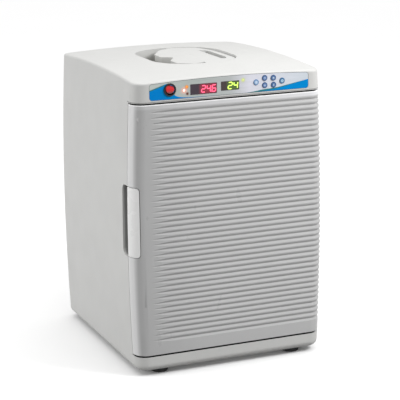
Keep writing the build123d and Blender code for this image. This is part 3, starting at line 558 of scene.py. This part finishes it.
def curve(*knots, steps=8):
    """Smooth line through (x, z) knots."""
    points = [Vector(knot) for knot in knots]
    points = [2 * points[0] - points[1], *points, 2 * points[-1] - points[-2]]
    line = []
    for a, b, c, d in zip(points, points[1:], points[2:], points[3:]):
        for step in range(steps):
            t = step / steps
            spot = 0.5 * (2 * b + (c - a) * t + (2 * a - 5 * b + 4 * c - d) * t ** 2
                          + (3 * b - a - 3 * c + d) * t ** 3)
            line.append(tuple(spot))
    line.append(tuple(points[-2]))
    return line


def arc(centre, radius, start, end, steps=8):
    """Points of an arc, angles in degrees from +X towards +Z."""
    angles = [radians(start + (end - start) * step / steps) for step in range(steps + 1)]
    return [(centre[0] + radius * cos(a), centre[1] + radius * sin(a)) for a in angles]


def disc(x, z, radius, steps=28):
    return arc((x, z), radius, 0, 360 - 360 / steps, steps - 1)


# ---- control panel ----

PANEL_LOW_CORNER, PANEL_HIGH_CORNER = box_mm("panel_overlay")
PANEL_LEFT, PANEL_FRONT, PANEL_LOW = PANEL_LOW_CORNER
PANEL_RIGHT, PANEL_TOP = PANEL_HIGH_CORNER.x, PANEL_HIGH_CORNER.z
PANEL_END = PANEL_TOP - 4.0          # height of the panel's upper corners
PANEL_R = 4.5
INK = 0.03                           # thickness of one printed layer
PRINT_Y = PANEL_FRONT - INK


def crown(x, inset=0.0):
    """Height of the panel's arched top edge at x."""
    rise = PANEL_TOP - PANEL_END
    radius = (PANEL_RIGHT ** 2 + rise ** 2) / (2 * rise)
    return PANEL_TOP - radius + (radius ** 2 - x ** 2) ** 0.5 - inset


def panel_ring(inset):
    """Outline of the panel, set in by inset, its corners round."""
    left, right, low = PANEL_LEFT + inset, PANEL_RIGHT - inset, PANEL_LOW + inset
    radius = PANEL_R - inset
    line = arc((left + radius, low + radius), radius, 180, 270)
    line += arc((right - radius, low + radius), radius, 270, 360)
    top = crown(right - radius, inset) - radius
    line += arc((right - radius, top), radius, 0, 86)
    step = 12                            # between the points of the arched edge
    places = [right - radius - step * i for i in range(1, 20)]
    line += [(x, crown(x, inset)) for x in places if x > left + radius]
    line += arc((left + radius, top), radius, 94, 180)
    return line


KEY_NAMES = ("menu", "up", "down", "start", "stop", "light")


def key_centre(name):
    low, high = box_mm("key_" + name)
    return (low.x + high.x) / 2, (low.z + high.z) / 2, low.y


DARK_RIM, PALE_RIM = tone(46, 84, 134), tone(104, 142, 186)
KEY_LOOKS = {
    "menu": (PALE_RIM, tone(172, 200, 230)),
    "up": (DARK_RIM, tone(112, 142, 190)),
    "down": (DARK_RIM, tone(112, 142, 190)),
    "start": (DARK_RIM, tone(96, 132, 178)),
    "stop": (DARK_RIM, tone(70, 116, 168)),
    "light": (tone(40, 98, 146), tone(118, 172, 206)),
}
KEY_COLOURS = [(*key_centre(name)[:2], *KEY_LOOKS[name]) for name in KEY_NAMES]


def panel_prints():
    edge = 0.45
    blue = wave_ink()
    outline = [(panel_ring(0.02), [panel_ring(edge)])]
    printed("panel_border", outline, PRINT_Y, INK, "case",
            flat_ink("border_ink", tone(62, 72, 78)))

    inner = PANEL_R - edge
    left, low, right = PANEL_LEFT + edge, PANEL_LOW + edge, PANEL_RIGHT - edge
    bezel_low, bezel_high = box_mm("power_switch_bezel")
    switch = ((bezel_low.x + bezel_high.x) / 2, (bezel_low.z + bezel_high.z) / 2)
    wave_top = curve((left, 443.0), (-118.0, 446.6), (-106.0, 450.2), (-99.5, 450.8), (-94.5, 445.0),
                     (-91.5, 435.6), (-86.0, 431.4), (-76.0, 429.2), (-58.0, 428.4), (-20.0, low + 0.05))
    wave = arc((left + inner, low + inner), inner, 270, 180) + wave_top
    hole = disc(*switch, 9.3)
    printed("wave_left", [(wave, [hole])], PRINT_Y, INK, "case", blue)

    wedge_top = curve((26.0, low + 0.05), (40.0, 429.2), (52.0, 430.9), (76.0, 432.6), (100.0, 436.4),
                      (right, 441.4))
    wedge = arc((right - inner, low + inner), inner, 360, 270)
    printed("wave_right", [wedge_top + wedge], PRINT_Y, INK, "case", blue)

    teal = flat_ink("teal_ink", tone(12, 118, 122))
    rim = [(x, z - 1.7) for x, z in curve((left, 443.0), (-118.0, 446.6), (-106.0, 450.2))]
    top = curve((left, 443.0), (-118.0, 446.6), (-106.0, 450.2))
    printed("wave_left_edge", [top + rim[::-1]], PRINT_Y - INK, INK, "case", teal)
    steps = len(wedge_top)
    rim = [(x, z - 1.9 * sin(pi * min(1.0, i / steps + 0.05)) - 0.05) for i, (x, z) in enumerate(wedge_top)]
    rim = [(x, max(low + 0.02, z)) for x, z in rim]
    edge_line = wedge_top[3:] + rim[:2:-1]
    printed("wave_right_edge", [edge_line], PRINT_Y - INK, INK, "case", teal)


# Segments of a digit, in its own unit square: 0 top, 1 upper right, 2 lower right, 3 bottom,
# 4 lower left, 5 upper left, 6 middle.
DIGIT_SEGMENTS = {"2": (0, 1, 6, 4, 3), "4": (5, 6, 1, 2), "6": (0, 5, 6, 4, 2, 3)}
SEGMENT_ENDS = (
    ((0, 1), (1, 1)), ((1, 1), (1, 0.5)), ((1, 0.5), (1, 0)), ((0, 0), (1, 0)),
    ((0, 0.5), (0, 0)), ((0, 1), (0, 0.5)), ((0, 0.5), (1, 0.5)),
)


def segment(start, end, thick, gap):
    """Six-sided bar from start to end, with a gap at each end."""
    start, end = Vector(start), Vector(end)
    along = (end - start).normalized()
    side = Vector((-along.y, along.x)) * thick / 2
    start, end = start + along * gap, end - along * gap
    neck = along * thick / 2
    points = [start, start + neck + side, end - neck + side, end, end - neck - side, start + neck - side]
    return [tuple(point) for point in points]


def digits(text, name, left, low, width, height, pitch, thick, y_front, material):
    """Lit seven-segment figures, leaning a little to the right."""
    lean = 0.10
    outlines = []
    x = left
    for figure in text:
        if figure == ".":
            outlines.append(disc(x - (pitch - width) / 2 - 0.1, low + thick * 0.4, thick * 0.55, 12))
            continue
        for index in DIGIT_SEGMENTS[figure]:
            ends = [(x + u * width + lean * v * height, low + v * height) for u, v in SEGMENT_ENDS[index]]
            outlines.append(segment(*ends, thick, 0.12 * thick))
        x += pitch
    return printed(name, outlines, y_front, 0.04, "case", material)


def display_digits():
    red_low, red_high = box_mm("red_display_window")
    red = lit_segment("red_segment", tone(255, 84, 116), 2.0)
    digits("24.6", "digits_red", red_high.x - 25.0, red_low.z + 2.9, 5.7, 9.8, 8.4, 1.35,
           red_low.y - 0.04, red)
    green_low, green_high = box_mm("green_display_window")
    green = lit_segment("green_segment", tone(196, 238, 96), 1.5)
    digits("24", "digits_green", green_high.x - 18.4, green_low.z + 2.2, 6.2, 9.6, 9.0, 1.5,
           green_low.y - 0.04, green)


def bar(x, z, half_x, half_z):
    """Rectangle round (x, z)."""
    left, right, low, high = x - half_x, x + half_x, z - half_z, z + half_z
    return [(left, low), (right, low), (right, high), (left, high)]


def key_glyphs():
    """Printed marks on the key caps; each rides with its key."""
    pale = flat_ink("glyph_white", tone(226, 234, 244))
    thick, half = 0.42, 1.5
    chevron = [(-half, -0.9), (0, 0.6), (half, -0.9), (half, -0.9 + 1.5 * thick), (0, 0.6 + 1.6 * thick),
               (-half, -0.9 + 1.5 * thick)]
    ring, ring_hole = disc(0, 0, 1.7), disc(0, 0, 1.15)
    marks = {
        "up": [(chevron, [])],
        "down": [([(x, -z) for x, z in chevron], [])],
        "start": [(bar(0, 0, 0.9, 0.9), [])],
        "stop": [(bar(0, 0, 0.45, 1.6), [])],
        "light": [(ring, [ring_hole])],
        "menu": [(bar(0, z, half, 0.22), []) for z in (-1.1, 0, 1.1)],
    }
    for name in KEY_NAMES:
        x, z, front = key_centre(name)

        def moved(line):
            return [(px + x, pz + z) for px, pz in line]
        outlines = [(moved(outline), [moved(hole) for hole in holes]) for outline, holes in marks[name]]
        printed("glyph_" + name, outlines, front - 0.03, 0.05, name + "_key", pale)


# ---- door gasket ----

def door_gasket():
    """Vinyl bellows: a flat foot on the door, folded side walls and a soft cushion over the magnet."""
    low, high = box_mm("door_gasket")
    mid_z = (low.z + high.z) / 2
    half_x, half_z = high.x, high.z - mid_z
    depth = high.y - low.y
    # profile: (how far in from the outer edge, share of the depth from the door)
    profile = [(0.3, 0.0), (11.2, 0.0), (11.4, 0.10), (10.2, 0.16), (9.4, 0.30), (11.0, 0.42), (11.3, 0.52),
               (10.6, 0.62), (10.9, 0.80), (9.6, 0.95), (5.75, 1.0), (1.9, 0.95), (0.6, 0.80), (0.9, 0.62),
               (0.2, 0.52), (0.5, 0.42), (2.1, 0.30), (1.3, 0.16), (0.1, 0.10)]
    shape = bmesh.new()
    rows = []
    corner = 14.0
    path = []
    for cx, cz, start in ((1, -1, -90), (1, 1, 0), (-1, 1, 90), (-1, -1, 180)):
        for step in range(9):
            angle = radians(start + 90 * step / 8)
            path.append((cx * (half_x - corner), cz * (half_z - corner), cos(angle), sin(angle)))
    for base_x, base_z, out_x, out_z in path:
        row = []
        for inward, share in profile:
            reach = corner - inward
            row.append(shape.verts.new((base_x + out_x * reach, low.y + share * depth,
                                        mid_z + base_z + out_z * reach)))
        rows.append(row)
    for first, second in zip(rows, rows[1:] + rows[:1]):
        for i in range(len(profile)):
            shape.faces.new((first[i - 1], first[i], second[i], second[i - 1]))
    made = piece("door_gasket_bellows", mesh_of(shape, "door_gasket_bellows"), "door",
                 gasket_vinyl(), smooth=True)
    bend = made.modifiers.new("fold_rounding", "BEVEL")
    bend.width, bend.segments, bend.limit_method = 0.25 * MM, 2, "ANGLE"
    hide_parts("door_gasket")


def gap_shade_strips():
    """Black strips of painted shade: dark sheets in the gaps above and below the door, where there is only
    shade; an invented part, not a known one.
    """
    # painted shade: a matt black sheet stands for the shade in the gaps
    gap_shade_sheet = Surface("painted_gap_shade", tone(16, 16, 17), 0.95)
    gap_shade_sheet.mottle(1.2, 0.2)
    gap_shade_sheet.uneven(4.0, 0.88, 1.0)
    gap_shade_sheet.bump(gap_shade_sheet.noise(0.5, 3.0), 0.05)
    black = gap_shade_sheet.done()
    door_low, door_high = box_mm("door_outer_panel")
    front, corner_r, depth, inset = door_low.y, 20.0, 9.0, 1.1
    gap = 2.5                                 # between the door and the case
    top_half, bottom_half = 154.5, 156.1      # half widths of the door at its top and its bottom
    for name, body, z, half_width in (("shade_strip_above_door", "door", door_high.z, top_half),
                                      ("shade_strip_below_door", "case", door_low.z - gap, bottom_half)):
        centre = (half_width - corner_r, front + corner_r)
        rows = []
        for reach in (corner_r - inset, corner_r - inset - depth):
            left = arc((-centre[0], centre[1]), reach, 180, 270, 10)
            rows.append(left + arc(centre, reach, 270, 300, 4))
        outline = rows[0] + rows[1][::-1]
        shape = bmesh.new()
        rings = [[shape.verts.new((x, y, z + lift)) for x, y in outline] for lift in (0.0, 0.5, 0.7)]
        half = len(rows[0])
        for ring, order in ((rings[0], -1), (rings[-1], 1)):
            for i in range(half - 1):
                shape.faces.new((ring[i], ring[i + 1], ring[-2 - i], ring[-1 - i])[::order])
        for first, second in zip(rings, rings[1:]):
            for i in range(len(outline)):
                shape.faces.new((first[i - 1], first[i], second[i], second[i - 1]))
        piece(name, mesh_of(shape, name), body, black)


# ---- studio ----

def aim(obj, target, roll=0.0):
    toward = Vector(target) - obj.location
    turn = toward.to_track_quat("-Z", "Y").to_matrix() @ Matrix.Rotation(radians(roll), 3, "Z")
    obj.rotation_euler = turn.to_euler()


def camera():
    data = bpy.data.cameras.new("camera")
    data.sensor_width, data.lens = 36.0, 137.2
    data.clip_end = 100.0
    made = bpy.data.objects.new("camera", data)
    bpy.context.scene.collection.objects.link(made)
    made.location = (-0.9089, -2.2378, 0.8272)
    aim(made, (-0.0326, -0.1329, 0.2580), -0.66)
    bpy.context.scene.camera = made


def panel_light(name, place, target, width, height, power, color=(1, 1, 1)):
    data = bpy.data.lights.new(name, "AREA")
    data.shape, data.size, data.size_y = "RECTANGLE", width, height
    data.energy, data.color = power, color
    made = bpy.data.objects.new(name, data)
    bpy.context.scene.collection.objects.link(made)
    made.location = place
    aim(made, target)
    return made


def studio():
    """A bright ceiling, a fill at the left and a key from the upper right, in a room that is dark below.

    The camera sees the room as plain white, and the key has no mirror image in glossy surfaces.
    """
    middle = (0.0, 0.0, 0.24)
    panel_light("left_fill", (-2.4, 0.5, 1.0), middle, 1.4, 1.6, 20.5)
    key = panel_light("right_key", (0.70, -0.80, 1.05), (0.0, -0.18, 0.30), 0.4, 0.4, 9.0)
    key.visible_glossy = False           # from behind, its mirror image would bleach the top
    sun = bpy.data.lights.new("ceiling_sun", "SUN")
    sun.energy, sun.angle = 0.70, radians(80)
    high = bpy.data.objects.new("ceiling_sun", sun)
    bpy.context.scene.collection.objects.link(high)
    world = bpy.data.worlds.new("studio_room")
    bpy.context.scene.world = world
    world.use_nodes = True
    tree = world.node_tree
    direction = tree.nodes.new("ShaderNodeTexCoord")
    split = tree.nodes.new("ShaderNodeSeparateXYZ")
    height = tree.nodes.new("ShaderNodeMapRange")
    height.inputs["From Min"].default_value = -1.0
    shades = tree.nodes.new("ShaderNodeValToRGB")
    band = shades.color_ramp
    band.elements[0].color = (0.12, 0.12, 0.12, 1)
    band.elements[1].color = (1.0, 1.0, 1.0, 1)
    for place, shade in ((0.48, 0.34), (0.53, 0.50)):
        band.elements.new(place).color = (shade, shade, shade, 1)
    tree.links.new(direction.outputs["Generated"], split.inputs[0])
    tree.links.new(split.outputs["Z"], height.inputs["Value"])
    tree.links.new(height.outputs["Result"], shades.inputs["Fac"])
    backdrop = tree.nodes.new("ShaderNodeMix")
    backdrop.data_type = "RGBA"
    backdrop.inputs[7].default_value = (1.0, 1.0, 1.0, 1.0)
    seen = tree.nodes.new("ShaderNodeLightPath")
    tree.links.new(seen.outputs["Is Camera Ray"], backdrop.inputs[0])
    tree.links.new(shades.outputs["Color"], backdrop.inputs[6])
    tree.links.new(backdrop.outputs[2], tree.nodes["Background"].inputs["Color"])
    bpy.context.scene.view_settings.view_transform = "Standard"


def floor():
    shape = bmesh.new()
    bmesh.ops.create_circle(shape, cap_ends=True, radius=14000.0, segments=96)
    mesh = bpy.data.meshes.new("floor")
    shape.to_mesh(mesh)
    shape.free()
    mesh.transform(Matrix.Scale(MM, 4))
    made = Surface("studio_floor", tone(250, 250, 250), 0.85)
    made.mottle(400.0, 0.004)
    mesh.materials.append(made.done())
    ground = bpy.data.objects.new("floor", mesh)
    bpy.context.scene.collection.objects.link(ground)
    ground.visible_diffuse = False       # the room's dark lower half lights the ribs from below instead


# ---- assembly ----

FINISHES = {
    "case_abs": case_plastic,
    "door_abs": door_plastic,
    "liner_abs": liner_plastic,
    "insert_abs": insert_plastic,
    "cover_abs": cover_plastic,
    "overlay_film": panel_film,
    "window_red": lambda: tinted_window("red_lens", tone(46, 26, 44), tone(150, 12, 44), (-36.0, 439.5),
                                        (13.0, 6.5), 0.35),
    "window_green": lambda: tinted_window("green_lens", tone(52, 34, 34), tone(70, 110, 20), (4.5, 441.0),
                                          (9.0, 5.5), 0.35),
    "display_red": lambda: segment_block("red_block", tone(120, 24, 30)),
    "display_green": lambda: segment_block("green_block", tone(60, 110, 50)),
    "key_blue": key_cap,
    "lamp": lamp_lens,
    "switch_black": switch_black,
    "switch_red": switch_red,
    "circuit_board": circuit_board,
    "black_plastic": black_plastic,
    "rubber": rubber,
    "gasket": gasket_vinyl,
    "foam": foam,
    "steel": zinc_steel,
    "wire_steel": bright_wire,
    "aluminium": plain_aluminium,
    "brass": contact_brass,
    "ceramic": alumina,
}


def finish_nodes():
    """Give every CAD node the finish of its material slot."""
    made = {}
    for name in sorted(NODES):
        for place in NODES[name].material_slots:
            slot = place.material.name.split(".")[0]
            if slot not in made:
                made[slot] = FINISHES[slot]()
            place.material = made[slot]


finish_nodes()
panel_prints()
display_digits()
key_glyphs()
door_gasket()
gap_shade_strips()
floor()
studio()
camera()
